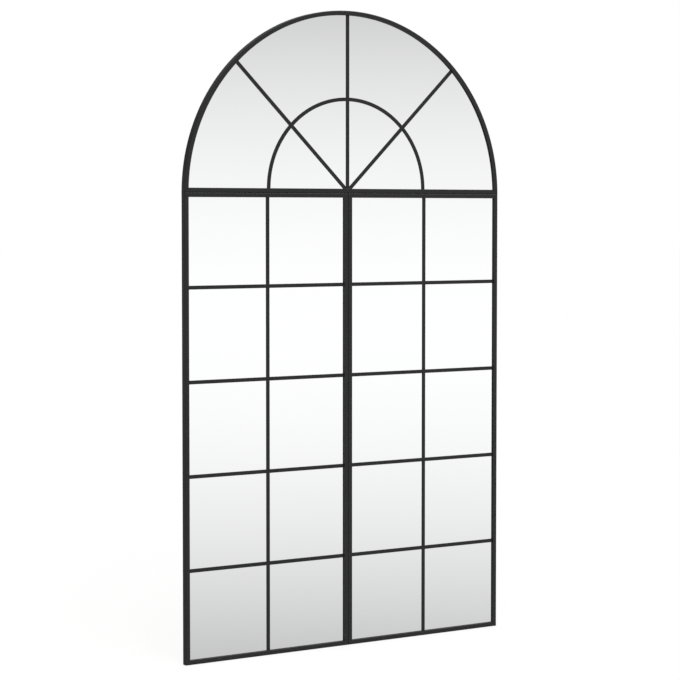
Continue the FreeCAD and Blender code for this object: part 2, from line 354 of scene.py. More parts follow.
def black_zinc():
    """Black zinc plating: the eye sees a dark metal with a thin, patchy gloss."""
    patch_size = 1.5 * MM
    glossy, cloudy = 0.25, 0.5
    material, tree, surface, place = new_material("black_zinc_plate")
    patch = add(tree, "ShaderNodeTexNoise", {"Scale": per(patch_size), "Detail": 3.0}, {"Vector": place})
    tones = {"A": linear("#303136"), "B": linear("#4a4b50")}
    tone = add(tree, "ShaderNodeMix", tones, {"Factor": patch}, data_type="RGBA")
    gloss = add(tree, "ShaderNodeMapRange", {"To Min": glossy, "To Max": cloudy}, {"Value": patch})
    feed(tree, surface, {"Metallic": 1.0}, {"Base Color": tone, "Roughness": gloss})
    return material


screw_finish = black_zinc()
print("screw finish:", screw_finish.name)

# %% [markdown]
# Angle iron, flat strip, tape, tongues and welds all repeat, or follow a line. They could be modelled one
# by one, but then each change would be made dozens of times. Geometry Nodes trees hold such rules. Every
# tree here opens with named inputs and ends the same way: instances become real geometry, which the export
# needs, and the geometry gets its material.

# %% Open and close a tree


def open_tree(name, inputs):
    """New Geometry Nodes tree with named inputs; returns it and the sockets of its inputs."""
    tree = bpy.data.node_groups.new(name, "GeometryNodeTree")
    tree.interface.new_socket("Geometry", in_out="INPUT", socket_type="NodeSocketGeometry")
    for label, kind in inputs.items():
        tree.interface.new_socket(label, in_out="INPUT", socket_type="NodeSocket" + kind)
    tree.interface.new_socket("Geometry", in_out="OUTPUT", socket_type="NodeSocketGeometry")
    return tree, add(tree, "NodeGroupInput").outputs


def close_tree(tree, geometry, material):
    """Ends a tree with real geometry in its material."""
    real = add(tree, "GeometryNodeRealizeInstances", links={"Geometry": geometry})
    painted = add(tree, "GeometryNodeSetMaterial", links={"Geometry": real, "Material": material})
    add(tree, "NodeGroupOutput", links={"Geometry": painted})
    return tree


print("every tree ends with real geometry and a material")

# %% [markdown]
# Angle iron is rolled, so its bend and its edges are rounded, and flat bar has softer edges than a saw
# leaves. A section could be drawn as a curve by hand, point by point. Here its corners are worked out from
# named sizes: each corner is named by the sizes that give its depth and its inset, and by its radius. The
# Index Switch nodes hand each point of the ring its corner, and a fillet rounds them all.

# %% Ring of a section
arc_steps = 4


def section_ring(tree, given, corners):
    """Closed ring through corners of (depth, inset, radius), each a tree input; None stands for 0."""
    index = add(tree, "GeometryNodeInputIndex")
    spot = add(tree, "GeometryNodeIndexSwitch", links={"Index": index}, data_type="VECTOR")
    radius = add(tree, "GeometryNodeIndexSwitch", links={"Index": index}, data_type="FLOAT")
    for switch in (spot, radius):
        for _ in range(len(corners) - len(switch.index_switch_items)):
            switch.index_switch_items.new()
    for i, (depth, inset, rounding) in enumerate(corners, start=1):
        named = {axis: given[size] for axis, size in (("X", depth), ("Y", inset)) if size}
        feed(tree, spot, links={i: add(tree, "ShaderNodeCombineXYZ", links=named)})
        feed(tree, radius, links={i: given[rounding]})
    points = add(tree, "GeometryNodePoints", {"Count": len(corners)}, {"Position": spot})
    ring = add(tree, "GeometryNodePointsToCurves", links={"Points": points})
    ring = add(tree, "GeometryNodeSetSplineCyclic", {"Cyclic": True}, {"Geometry": ring})
    steps = {"Count": arc_steps, "Limit Radius": True}
    return add(tree, "GeometryNodeFilletCurve", steps, {"Curve": ring, "Radius": radius}, mode="POLY")


print("corners are rounded in", arc_steps, "steps")

# %% [markdown]
# A bar is one section pulled along a line and sawn off at its ends. An array or a stretched cube could do
# a straight bar, but not the arch, and neither would cut a mitre. So the section is swept along the bar's
# front outer edge, walked so that the inside of the frame lies on the left. Each end is then pushed along
# its heading in step with the distance from that edge, which cuts it at any slope: 1 is a mitre of 45
# degrees. The heading, the slope and the inset travel through the sweep as named attributes.

# %% Sweep of a section with sawn ends
sweep_notes = {"heading": "FLOAT_VECTOR", "slope": "FLOAT", "inset": "FLOAT"}
into_wall = (0, 1, 0)


def section_tree(name, sizes, corners):
    """Tree that sweeps a section along guide lines and saws each end at its slope."""
    tree, given = open_tree(name, {**dict.fromkeys(sizes, "Float"), "Material": "Material"})
    line = add(tree, "GeometryNodeMeshToCurve", links={"Mesh": given["Geometry"]})
    line = add(tree, "GeometryNodeSetCurveNormal", {"Normal": into_wall}, {"Curve": line}, mode="FREE")
    line = add(
        tree,
        "GeometryNodeStoreNamedAttribute",
        {"Name": "heading"},
        {"Geometry": line, "Value": add(tree, "GeometryNodeInputTangent")},
        data_type=sweep_notes["heading"],
    )
    ring = section_ring(tree, given, corners)
    place = add(tree, "GeometryNodeInputPosition")
    inset = add(tree, "ShaderNodeSeparateXYZ", links={"Vector": place}).outputs["Y"]
    ring = add(
        tree,
        "GeometryNodeStoreNamedAttribute",
        {"Name": "inset"},
        {"Geometry": ring, "Value": inset},
        data_type=sweep_notes["inset"],
    )
    curves = {"Curve": line, "Profile Curve": ring}
    swept = add(tree, "GeometryNodeCurveToMesh", {"Fill Caps": True}, curves)
    read = {
        note: add(tree, "GeometryNodeInputNamedAttribute", {"Name": note}, data_type=kind)
        for note, kind in sweep_notes.items()
    }
    push = add(tree, "ShaderNodeMath", links={0: read["slope"], 1: read["inset"]}, operation="MULTIPLY")
    moves = {"Vector": read["heading"], "Scale": push}
    offset = add(tree, "ShaderNodeVectorMath", links=moves, operation="SCALE")
    sawn = add(tree, "GeometryNodeSetPosition", links={"Geometry": swept, "Offset": offset})
    return close_tree(tree, sawn, given["Material"])


print("noted along the sweep:", list(sweep_notes))

# %% [markdown]
# Two sections are enough for the mirror. Angle iron has six corners: a lip that faces the room and holds
# the glass, and a web that runs back to the wall. Flat bar has four, and foam tape is cut in the same
# shape. Each could have its own tree drawn from nothing, but only their corners differ. So both come from
# the function above.

# %% Angle iron and flat bar
angle_tree = section_tree(
    "angle iron",
    ("Depth", "Face", "Wall", "Bend Radius", "Edge Radius"),
    [
        (None, None, "Bend Radius"),
        ("Depth", None, "Edge Radius"),
        ("Depth", "Wall", "Edge Radius"),
        ("Wall", "Wall", "Edge Radius"),
        ("Wall", "Face", "Edge Radius"),
        (None, "Face", "Edge Radius"),
    ],
)
flat_tree = section_tree(
    "flat strip",
    ("Thickness", "Width", "Edge Radius"),
    [
        (None, None, "Edge Radius"),
        ("Thickness", None, "Edge Radius"),
        ("Thickness", "Width", "Edge Radius"),
        (None, "Width", "Edge Radius"),
    ],
)
for tree in (angle_tree, flat_tree):
    print("tree:", tree.name, "with", len(tree.nodes), "nodes")

# %% [markdown]
# The line that a sweep follows stands for the edge that a maker would measure along. It could be a curve
# object, but that can't carry an attribute for each end. So it is a mesh of points and edges with the
# slope as an attribute, which the tree turns into a curve. A length is given as its points, the slope at
# its start and the slope at its end, and arches are divided finely enough to look round.

# %% Guide lines
upright = math.pi / 2
arc_step = math.radians(1.5)


def slope(heading, cut_line):
    """How far an end is pushed per unit of inset to lie along a line, both given as angles."""
    return 1 / math.tan(cut_line - heading)


def at(x, z, y):
    """Point given by its place in the front view and its depth."""
    return Vector((x, y, z))


def arc(radius, centre_z, y, start, end):
    """Points on an arc about the mirror's middle line, from one angle to another."""
    count = max(1, math.ceil(abs(end - start) / arc_step))
    angles = [start + (end - start) * i / count for i in range(count + 1)]
    return [at(radius * math.cos(a), centre_z + radius * math.sin(a), y) for a in angles]


def guide_lines(name, lengths):
    """Guide mesh of several open lines, each given as (points, slope at its start, slope at its end)."""
    points, edges, slopes = [], [], []
    for line, start_slope, end_slope in lengths:
        first = len(points)
        points += line
        edges += [(i, i + 1) for i in range(first, len(points) - 1)]
        slopes += [start_slope, *[0.0] * (len(line) - 2), end_slope]
    mesh = bpy.data.meshes.new(name)
    mesh.from_pydata(points, edges, [])
    mesh.attributes.new("slope", "FLOAT", "POINT").data.foreach_set("value", slopes)
    return mesh


mitre = slope(0, upright / 2)
print("a square end has slope", round(slope(0, upright), 3), "and a mitre", round(mitre, 3))

# %% [markdown]
# Painted steel has flat faces and small rounded edges. Flat shading would show every facet of a rounded
# edge, and smooth shading alone would bend the light over the flat faces too. So faces are smooth, but
# their normals lean towards the larger faces, and corners sharper than a set angle stay sharp.

# %% Shading of rounded edges
sharp_angle = math.radians(40)


def new_object(name, data):
    """Object at the origin that holds a mesh, a lamp or a camera."""
    piece = bpy.data.objects.new(name, data)
    bpy.context.scene.collection.objects.link(piece)
    return piece


def shade(piece):
    """Smooth faces, with hard edges kept and flat faces left looking flat."""
    piece.data.shade_smooth()
    piece.data.set_sharp_from_angle(angle=sharp_angle)
    even = piece.modifiers.new("even normals", "WEIGHTED_NORMAL")
    even.keep_sharp = True
    return piece


print(f"edges sharper than {math.degrees(sharp_angle):.0f} degrees stay sharp")

# %% [markdown]
# A tree works as a modifier on its guide mesh. It could stay one, but here it is run once, its result is
# kept as a plain mesh, and the modifier goes. A piece is then handed over: it rides with the mirror and
# stands for the imported pieces under it, which are hidden.

# %% Run a tree and hand over its piece


def settle(piece):
    """Keeps what a piece's modifiers make as its plain mesh, and shades that."""
    depsgraph = bpy.context.evaluated_depsgraph_get()
    mesh = bpy.data.meshes.new_from_object(piece.evaluated_get(depsgraph), depsgraph=depsgraph)
    raw = piece.data
    piece.modifiers.clear()
    piece.data = mesh
    bpy.data.meshes.remove(raw)
    mesh.name = piece.name
    return shade(piece)


def grow(name, guide, tree, sizes):
    """Runs a tree on a guide mesh and keeps the result as a plain mesh."""
    piece = new_object(name, guide)
    growth = piece.modifiers.new(tree.name, "NODES")
    growth.node_group = tree
    for socket in tree.interface.items_tree:
        if socket.in_out == "INPUT" and socket.name in sizes:
            growth[socket.identifier] = sizes[socket.name]
    return settle(piece)


def hand_over(piece, slot, *nodes):
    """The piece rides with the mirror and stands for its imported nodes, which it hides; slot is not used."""
    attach(piece, "root")
    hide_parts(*nodes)
    return piece


print("packed pieces to stand for:", len(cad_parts))

# %% [markdown]
# The frames are welded from angle iron, sawn to mitres. The fanlight has a base rail and an arch, which
# stands upright where it meets the rail, so both are mitred there as at any other corner. Each bar could
# be cut out of a solid with booleans, but a sweep gives clean faces. Each frame is walked counter-clockwise
# seen from the front, so every lip points inward. Very thin dark lines fade in a small picture, so lips are
# drawn a little wider than they are.

# %% Sizes and lines of the fanlight's bars
base_low, base_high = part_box("fan_base_rail")
half_width = base_high.x
arch_z = base_low.z
front_y = base_low.y
strip_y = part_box("fan_spoke_centre")[0].y
bar_depth = base_high.y - front_y
bar_face = base_high.z - arch_z
bar_wall = strip_y - front_y
bolder = 0.9 * MM
angle_sizes = {
    "Depth": bar_depth,
    "Face": bar_face + bolder,
    "Wall": bar_wall,
    "Bend Radius": 1.8 * MM,
    "Edge Radius": 0.5 * MM,
    "Material": bar_paint,
}
bar_lines = {
    "fan_base_rail": [at(-half_width, arch_z, front_y), at(half_width, arch_z, front_y)],
    "fan_arch_bar": arc(half_width, arch_z, front_y, 0, math.pi),
}
print(f"bars {bar_face / MM:.1f} x {bar_depth / MM:.1f} mm with {bar_wall / MM:.1f} mm walls")

# %% [markdown]
# Each leaf has four straight bars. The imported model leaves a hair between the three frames, so that they
# share no face, but on the wall screws draw them together. The hair could stay, but light would shine
# through it. So the leaves' lines are moved onto the mirror's middle and the base rail, and only the
# rounded edges leave a dark groove there.

# %% Ten bars
leaf_sides = {
    "left": ("bottom_rail", "inner_stile", "top_rail", "outer_stile"),
    "right": ("bottom_rail", "outer_stile", "top_rail", "inner_stile"),
}
leaf_edges = {}
for leaf, sides in leaf_sides.items():
    low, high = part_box(f"{leaf}_bottom_rail")[0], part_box(f"{leaf}_top_rail")[1]
    leaf_edges[leaf] = (low.x, low.z, high.x, high.z)
    closed_x = [x if abs(x) > bar_face else 0.0 for x in (low.x, high.x)]  # the inner side, to the middle
    corners = [(x, low.z) for x in closed_x] + [(x, arch_z) for x in reversed(closed_x)]
    for side, start, end in zip(sides, corners, corners[1:] + corners[:1]):
        bar_lines[f"{leaf}_{side}"] = [at(*start, front_y), at(*end, front_y)]
bars = {}
for node, line in bar_lines.items():
    guide = guide_lines(node, [(line, mitre, -mitre)])
    bars[node] = grow(f"{node}_painted", guide, angle_tree, angle_sizes)
    print(bars[node].name, "has", len(bars[node].data.polygons), "faces")

# %% [markdown]
# Screws, their holes and the tongues behind the boards repeat along the bars. Copies could be set by hand,
# but Instance on Points sets one pattern on any number of seats. A seat is a point on a bar's inner face
# and the direction in which its piece points. The seats of a piece are a mesh of loose points, each with
# its turn as an attribute, and the pattern is an object that the tree takes as an input.

# %% Tree that sets a pattern on its seats
seat_tree, given = open_tree("pattern on its seats", {"Pattern": "Object", "Material": "Material"})
points = add(seat_tree, "GeometryNodeMeshToPoints", links={"Mesh": given["Geometry"]})
turn = add(seat_tree, "GeometryNodeInputNamedAttribute", {"Name": "turn"}, data_type="FLOAT")
turned = add(seat_tree, "ShaderNodeCombineXYZ", links={"Y": turn})
shape = add(seat_tree, "GeometryNodeObjectInfo", links={"Object": given["Pattern"]}).outputs["Geometry"]
seated = {"Points": points, "Instance": shape, "Rotation": turned}
placed = add(seat_tree, "GeometryNodeInstanceOnPoints", links=seated)
close_tree(seat_tree, placed, given["Material"])


def set_on_seats(name, pattern, seats, finish):
    """Copies of a pattern as one piece; a seat is x, z and the direction that the pattern's +X takes."""
    guide = bpy.data.meshes.new(name)
    guide.from_pydata([at(x, z, 0) for x, z, _ in seats], [], [])
    guide.attributes.new("turn", "FLOAT", "POINT").data.foreach_set("value", [-way for _, _, way in seats])
    return grow(name, guide, seat_tree, {"Pattern": pattern, "Material": finish})


print("tree:", seat_tree.name, "with", len(seat_tree.nodes), "nodes")

# %% [markdown]
# Panes, boards, tongues and drills are solids of one kind: an outline that is carried from one end to the
# other. Primitives with modifiers could come close, but Blender has none with these outlines. So a solid
# is given as rings of points along its length, joined one to the next and closed at both ends.

# %% Solids from rings of points


def closed_skin(rings):
    """Bmesh of rings of points, joined one to the next and closed at both ends."""
    mesh = bmesh.new()
    loops = [[mesh.verts.new(point) for point in ring] for ring in rings]
    count = len(loops[0])
    mesh.faces.new(loops[0])
    for near, far in zip(loops, loops[1:]):
        for i in range(count):
            j = (i + 1) % count
            mesh.faces.new((near[i], near[j], far[j], far[i]))
    mesh.faces.new(loops[-1])
    bmesh.ops.recalc_face_normals(mesh, faces=mesh.faces)
    return mesh


def finished(name, mesh, finishes=()):
    """Object at the origin made of a bmesh and its finishes."""
    data = bpy.data.meshes.new(name)
    mesh.to_mesh(data)
    mesh.free()
    for finish in finishes:
        data.materials.append(finish)
    return new_object(name, data)


square = [(0, 0), (1, 0), (1, 1), (0, 1)]
block = closed_skin([[(x, y, z) for x, y in square] for z in (0, 1)])
print("two rings of four points make a solid of", len(block.faces), "faces")
block.free()

# %% [markdown]
# Countersunk screws hold the frames together: four stand in the base rail and four where the leaves meet.
# Their heads lie flush, so they need real holes, or the steel would fill their slots. A hole could be drawn
# into the section, but a sweep would make a groove of it. So it is cut with a drill, a solid in the shape
# of the hole: straight along the shank, and wider towards the head.

# %% Drill for a countersunk hole
screw_low, screw_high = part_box("mullion_screws")
screw_y = (screw_low.y + screw_high.y) / 2
head_radius = (screw_high.y - screw_low.y) / 2
head_height = 1.2 * MM
shank_radius = 1.25 * MM
screw_play = 0.08 * MM
drill_overrun = 0.5 * MM
drill_sides = 32


def drill_pattern():
    """Drill whose hole has its rim on the plane x = 0 and goes along +X, through two walls."""
    bore = shank_radius + screw_play
    flare = (head_radius - shank_radius) / head_height
    top, end = -drill_overrun, 2 * bar_wall + drill_overrun
    profile = [(top, bore + flare * (head_height - top)), (head_height, bore), (end, bore)]
    turns = [2 * math.pi * i / drill_sides for i in range(drill_sides)]
    rings = [[at(x, r * math.sin(t), screw_y + r * math.cos(t)) for t in turns] for x, r in profile]
    return finished("drill", closed_skin(rings))


drill = drill_pattern()
print("drill for heads", round(2 * head_radius / MM, 2), "mm wide, with", len(drill.data.polygons), "faces")

# %% [markdown]
# Five bars are drilled: the base rail, the two rails under it and the two stiles that meet. The places of
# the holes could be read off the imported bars, but a rule says more: shares of a leaf's width and height.
# All drills are one piece, and a Boolean modifier cuts it out of each bar. The result is kept as a plain
# mesh, the drills go, and the bars are handed over.

# %% Screw holes
transom_shares = (0.1, 0.7)
mullion_shares = (0.1, 0.37, 0.63, 0.9)
inner_x, leaf_foot, _, leaf_top = leaf_edges["right"]
transom_x = [inner_x + (half_width - inner_x) * share for share in transom_shares]
mullion_z = [leaf_top - (leaf_top - leaf_foot) * share for share in mullion_shares]
screw_seats = {
    "transom": [(side * x, arch_z + bar_wall, -upright) for side in (-1, 1) for x in transom_x],
    "mullion": [(-bar_wall, z, 0.0) for z in mullion_z],
}
drills = set_on_seats("drills", drill, screw_seats["transom"] + screw_seats["mullion"], bar_paint)
for node in ("fan_base_rail", "left_top_rail", "right_top_rail", "left_inner_stile", "right_inner_stile"):
    bars[node].modifiers.clear()
    holes = bars[node].modifiers.new("screw holes", "BOOLEAN")
    holes.operation = "DIFFERENCE"
    holes.object = drills
    settle(bars[node])
    print(bars[node].name, "has", len(bars[node].data.polygons), "faces with its holes")
for tool in (drill, drills):
    bpy.data.objects.remove(tool)
for node, bar in bars.items():
    hand_over(bar, "frame_black", node)

# %% [markdown]
# Flat strips divide the panes into lights, as in a real window, but here they only lie on the glass, behind
# the lip. A thin box would do for each, but its edges would be knife-sharp. Straight strips follow the
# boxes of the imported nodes: the line is the strip's right-hand edge as it is walked, and the width lies to
# the left of it. Strips are drawn wider by as much as the lips.

# %% Lines of the straight strips
spoke_low, spoke_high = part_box("fan_spoke_centre")
strip_width = spoke_high.x - spoke_low.x
strip_thickness = spoke_high.y - spoke_low.y
half_strip = (strip_width + bolder) / 2


def straight_strip(node):
    """Line along the right-hand edge of a strip that is level or upright."""
    low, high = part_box(node)
    middle = (low + high) / 2
    if high.z - low.z > high.x - low.x:
        return [at(middle.x + half_strip, low.z, low.y), at(middle.x + half_strip, high.z, low.y)]
    return [at(low.x, middle.z - half_strip, low.y), at(high.x, middle.z - half_strip, low.y)]


strips = {}
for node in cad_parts:
    if "cross_bar" in node or "vertical_bar" in node or node == "fan_spoke_centre":
        strips[node] = (straight_strip(node), 0.0, 0.0)
print(f"straight strips: {len(strips)}, {strip_width / MM:.1f} x {strip_thickness / MM:.1f} mm")

# %% [markdown]
# Two spokes slant from the hub, in the middle of the base rail's face, to the arch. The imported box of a
# slanted piece says little about its line, so it is worked out as on a drawing board. The spoke's edge is
# a line beside the hub. It starts at the side of the centre spoke, where the saw cuts it upright, and ends
# where it meets the circle behind the lip.

# %% Lines of the slanted spokes
hub_z = arch_z + bar_face / 2
strip_foot_z = spoke_low.z
strip_inset = strip_foot_z - arch_z
spoke_angles = {"right": upright / 2, "centre": upright, "left": 3 * upright / 2}


def slanted_spoke(heading):
    """Line along the right-hand edge of a slanted spoke, from the centre spoke's side to the arch."""
    along = Vector((math.cos(heading), 0, math.sin(heading)))
    leftward = Vector((-math.sin(heading), 0, math.cos(heading)))
    edge = at(0, hub_z, strip_y) - leftward * half_strip
    side_x = math.copysign(half_strip, along.x)
    start = edge + along * ((side_x - edge.x) / along.x)
    from_centre = start - at(0, arch_z, strip_y)
    ahead = from_centre.dot(along)
    radius = half_width - strip_inset
    reach = math.sqrt(ahead**2 - from_centre.length_squared + radius**2) - ahead
    return [start, start + along * reach]


for name in ("left", "right"):
    heading = spoke_angles[name]
    line = slanted_spoke(heading)
    strips[f"fan_spoke_{name}"] = (line, slope(heading, upright), 0.0)
    print(f"{name} spoke: {(line[1] - line[0]).length / MM:.1f} mm long")

# %% [markdown]
# The inner arch is a small half round of flat bar in four lengths between the spokes. One whole ring with
# the spokes laid over it would look much the same, but two strips can't lie in one place. So each length
# ends where its circle meets the side of a spoke, and its end is cut along that side. The two outer lengths
# run down behind the base rail's lip.

# %% Lines of the inner arch
lip_edge_z = arch_z + bar_face
inner_arch_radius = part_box("fan_inner_arch_4")[1].x - strip_width / 2 + half_strip


def spoke_crossing(heading, radius, centre_z, side_gap):
    """Angle at which a circle about the middle line meets a line beside a spoke."""
    distance = (hub_z - centre_z) * math.cos(heading) + side_gap
    return heading + math.asin(distance / radius)


ends = [(0.0, 0.0)]
for heading in spoke_angles.values():
    for side in (-half_strip, half_strip):
        turn = spoke_crossing(heading, inner_arch_radius, lip_edge_z, side)
        ends.append((turn, slope(turn + upright, heading)))
ends.append((math.pi, 0.0))
arch_lines = []
for (start, start_slope), (end, end_slope) in zip(ends[::2], ends[1::2]):
    arch_lines.append((arc(inner_arch_radius, lip_edge_z, strip_y, start, end), start_slope, end_slope))
arch_lines[0][0].insert(0, at(inner_arch_radius, strip_foot_z, strip_y))
arch_lines[-1][0].append(at(-inner_arch_radius, strip_foot_z, strip_y))
for i, length in enumerate(arch_lines):
    strips[f"fan_inner_arch_{len(arch_lines) - i}"] = length
print(f"inner arch: {len(arch_lines)} lengths at a radius of {inner_arch_radius / MM:.1f} mm")

# %% [markdown]
# All strips are the same flat bar, painted before they were laid in. They could be joined into one grid,
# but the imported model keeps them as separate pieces, so that one can be changed or taken out. So the tree
# is run once for each line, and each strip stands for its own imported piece.

# %% Twenty-five strips
strip_sizes = {
    "Thickness": strip_thickness,
    "Width": 2 * half_strip,
    "Edge Radius": 0.25 * MM,
    "Material": strip_paint,
}
for node, length in strips.items():
    strip = grow(f"{node}_painted", guide_lines(node, [length]), flat_tree, strip_sizes)
    hand_over(strip, "strip_black", node)
print("strips:", len(strips))

# %% [markdown]
# Between the lip and the glass each frame is lined with foam tape as thick as the strips, so that the pane
# lies evenly on both. It is laid in lengths that stop just short of each strip and are mitred in the
# corners. One ring of tape through the strips would be simpler, but then foam and steel would share their
# space. So a side is given as its two corners and the gaps along it, and each leaf has four such sides.

# %% Tape round a leaf
pane_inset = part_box("fan_mirror")[0].z - arch_z
tape_end_gap = 0.4 * MM
tape_corner_gap = 0.1 * MM


def leaf_outline(leaf, inset):
    """Outline of a leaf at an inset from its outer edge."""
    left, bottom, right, top = leaf_edges[leaf]
    left, bottom, right, top = left + inset, bottom + inset, right - inset, top - inset
    return [(left, bottom), (right, bottom), (right, top), (left, top)]


def tape_side(start, end, gaps):
    """Lengths of tape between two mitred corners; gaps are (from, to) distances from the start."""
    along = (end - start).normalized()
    openings = [stop for gap in sorted(gaps) for stop in gap]
    stops = [tape_corner_gap, *openings, (end - start).length - tape_corner_gap]
    pairs = zip(stops[::2], stops[1::2])
    lengths = [([start + along * first, start + along * last], 0.0, 0.0) for first, last in pairs]
    lengths[0] = (lengths[0][0], mitre, lengths[0][2])
    lengths[-1] = (lengths[-1][0], lengths[-1][1], -mitre)
    return lengths


def leaf_tape(leaf):
    """Tape round a leaf, open at the strips that cross it."""
    corners = [at(x, z, strip_y) for x, z in leaf_outline(leaf, pane_inset)]
    level_strips = [node for node in strips if node.startswith(leaf) and node.endswith("inner")]
    crossing = [[f"{leaf}_vertical_bar"], level_strips] * 2
    lengths = []
    for start, end, nodes in zip(corners, corners[1:] + corners[:1], crossing):
        along = (end - start).normalized()
        gaps = []
        for node in nodes:
            stops = sorted((corner - start).dot(along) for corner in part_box(node))
            gaps.append((stops[0] - tape_end_gap, stops[1] + tape_end_gap))
        lengths += tape_side(start, end, gaps)
    return lengths


tape_lines = {leaf: leaf_tape(leaf) for leaf in leaf_sides}
print("lengths of tape:", {leaf: len(lengths) for leaf, lengths in tape_lines.items()})

# %% [markdown]
# In the fanlight the tape follows the arch as well. Along the base rail it opens for the feet of the inner
# arch and for the hub, and along the arch for the ends of the three spokes. The openings could be measured
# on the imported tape, but its box tells only where it ends. So they are worked out from the strips that need
# them.

# %% Tape round the fanlight
tape_setback = 0.5 * MM
tape_inner_inset = bar_face - tape_setback


def fan_tape():
    """Tape round the fanlight, open at the feet of the inner arch, the hub and the spokes."""
    radius = half_width - pane_inset
    springing = math.asin(pane_inset / radius)
    corner_x = radius * math.cos(springing)
    beside = half_strip + tape_end_gap
    hub_reach = tape_inner_inset - (hub_z - arch_z) + beside / math.sin(upright / 2)
    foot_x = inner_arch_radius - half_strip
    openings = [(-foot_x, beside), (0.0, hub_reach), (foot_x, beside)]
    base_z = arch_z + pane_inset
    base = tape_side(
        at(-corner_x, base_z, strip_y),
        at(corner_x, base_z, strip_y),
        [(corner_x + middle - reach, corner_x + middle + reach) for middle, reach in openings],
    )
    stops = [springing]
    for heading in spoke_angles.values():
        stops += [spoke_crossing(heading, radius, arch_z, side) for side in (-beside, beside)]
    stops.append(math.pi - springing)
    pairs = zip(stops[::2], stops[1::2])
    bends = [(arc(radius, arch_z, strip_y, start, end), 0.0, 0.0) for start, end in pairs]
    bends[0] = (bends[0][0], mitre, 0.0)
    bends[-1] = (bends[-1][0], 0.0, -mitre)
    return base + bends


tape_lines = {"fan": fan_tape(), **tape_lines}
print("lengths of tape in the fanlight:", len(tape_lines["fan"]))

# %% [markdown]
# Foam tape is cut from a flat roll, so it is another flat section, a little softer at its edges than steel.
# It could have a tree of its own, but the one for flat bar already does the same. One piece holds all the
# lengths of a frame, as they come off one roll.

# %% Tape in three frames
tape_sizes = {
    "Thickness": strip_thickness,
    "Width": tape_inner_inset - pane_inset,
    "Edge Radius": 0.3 * MM,
    "Material": tape_finish,
}
for name, lengths in tape_lines.items():
    tape = grow(f"{name}_foam_tape", guide_lines(name, lengths), flat_tree, tape_sizes)
    hand_over(tape, "foam_tape", f"{name}_glazing_tape")
    print(tape.name, "has", len(tape.data.polygons), "faces")

# %% [markdown]
# Each frame holds one pane of mirror glass and a hardboard behind it, cut to the same outline. A pane's
# sharp edge is taken off by a narrow arris. A Bevel modifier could cut it, but the front, the edge and the
# back also need finishes of their own. So four rings of points, at two insets from the frame's outer edge
# and at four depths, give the front, the arris, the edge and the back. The boards are made the same way.

# %% Flat sheets with an arris


def outline_of(name, inset):
    """Outline of one of the three frames at an inset from its outer edge."""
    if name != "fan":
        return leaf_outline(name, inset)
    radius = half_width - inset
    turn = math.asin(inset / radius)
    return [(point.x, point.z) for point in arc(radius, arch_z, 0, turn, math.pi - turn)]


def sheet_piece(node, name, arris, finishes):
    """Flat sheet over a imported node; finishes are for its front, its edge and its back."""
    low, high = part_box(node)
    rings = [
        (pane_inset + arris, low.y),
        (pane_inset, low.y + arris),
        (pane_inset, high.y - arris),
        (pane_inset + arris, high.y),
    ]
    mesh = closed_skin([[at(x, z, y) for x, z in outline_of(name, inset)] for inset, y in rings])
    faces = list(mesh.faces)
    for face in faces[1:-1]:
        face.material_index = 1
    faces[-1].material_index = 2
    return shade(finished(f"{node}_finished", mesh, finishes))


three_frames = ("fan", *leaf_sides)
pane_arris = 0.4 * MM
board_arris = 0.3 * MM
for name in three_frames:
    pane = sheet_piece(f"{name}_mirror", name, pane_arris, pane_finishes)
    hand_over(pane, "mirror_glass", f"{name}_mirror")
    board = sheet_piece(f"{name}_back_board", name, board_arris, [board_finish] * 3)
    hand_over(board, "hardboard", f"{name}_back_board")
    print(pane.name, "and", board.name, "have", len(pane.data.polygons), "faces each")

# %% [markdown]
# Bent tongues of sheet steel hold the boards in. Each is cut with rounded tips and folded in a vice: one leg
# is welded to the inside of the bar and the other presses on the board. It could be bent with a Simple
# Deform modifier, but its side view, an L with a round bend, is easy to draw. So that outline is given a
# width, its tips are rounded by a wide bevel and its other edges by a small one.

# %% Pattern of a tongue
board_back_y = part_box("fan_back_board")[1].y
tongue_width = 12 * MM
tongue_reach = 14 * MM
tongue_thickness = 1 * MM
tongue_back_y = -1 * MM
bend_radius = 0.8 * MM
bend_steps = 5
tip_radius = 3 * MM
burr_radius = 0.15 * MM
round_bevel = {"profile": 0.5, "affect": "EDGES"}


def rounded_edges(mesh, radius):
    """Rounds every sharp edge of a bmesh."""
    sharp = [edge for edge in mesh.edges if edge.calc_face_angle(0) > sharp_angle]
    bmesh.ops.bevel(mesh, geom=sharp, offset=radius, segments=2, clamp_overlap=True, **round_bevel)


def tongue_pattern():
    """One tongue with its leg standing on the plane x = 0 and its free end pointing along +X."""
    outer = bend_radius + tongue_thickness
    centre = Vector((outer, board_back_y + outer))
    turns = [math.pi + upright * i / bend_steps for i in range(bend_steps + 1)]
    rays = [Vector((math.cos(turn), math.sin(turn))) for turn in turns]
    outline = [Vector((0, tongue_back_y)), *[centre + ray * outer for ray in rays]]
    outline.append(Vector((tongue_reach, board_back_y)))
    outline.append(Vector((tongue_reach, board_back_y + tongue_thickness)))
    outline += [centre + ray * bend_radius for ray in reversed(rays)]
    outline.append(Vector((tongue_thickness, tongue_back_y)))
    widths = (-tongue_width / 2, tongue_width / 2)
    mesh = closed_skin([[at(p.x, z, p.y) for p in outline] for z in widths])
    free_end = [e for e in mesh.edges if all(v.co.x > tongue_reach - tip_radius for v in e.verts)]
    tips = [e for e in free_end if e.verts[0].co.z == e.verts[1].co.z]
    bmesh.ops.bevel(mesh, geom=tips, offset=tip_radius, segments=5, **round_bevel)
    rounded_edges(mesh, burr_radius)
    return finished("tongue_pattern", mesh)


tongue = tongue_pattern()
print("one tongue has", len(tongue.data.polygons), "faces")

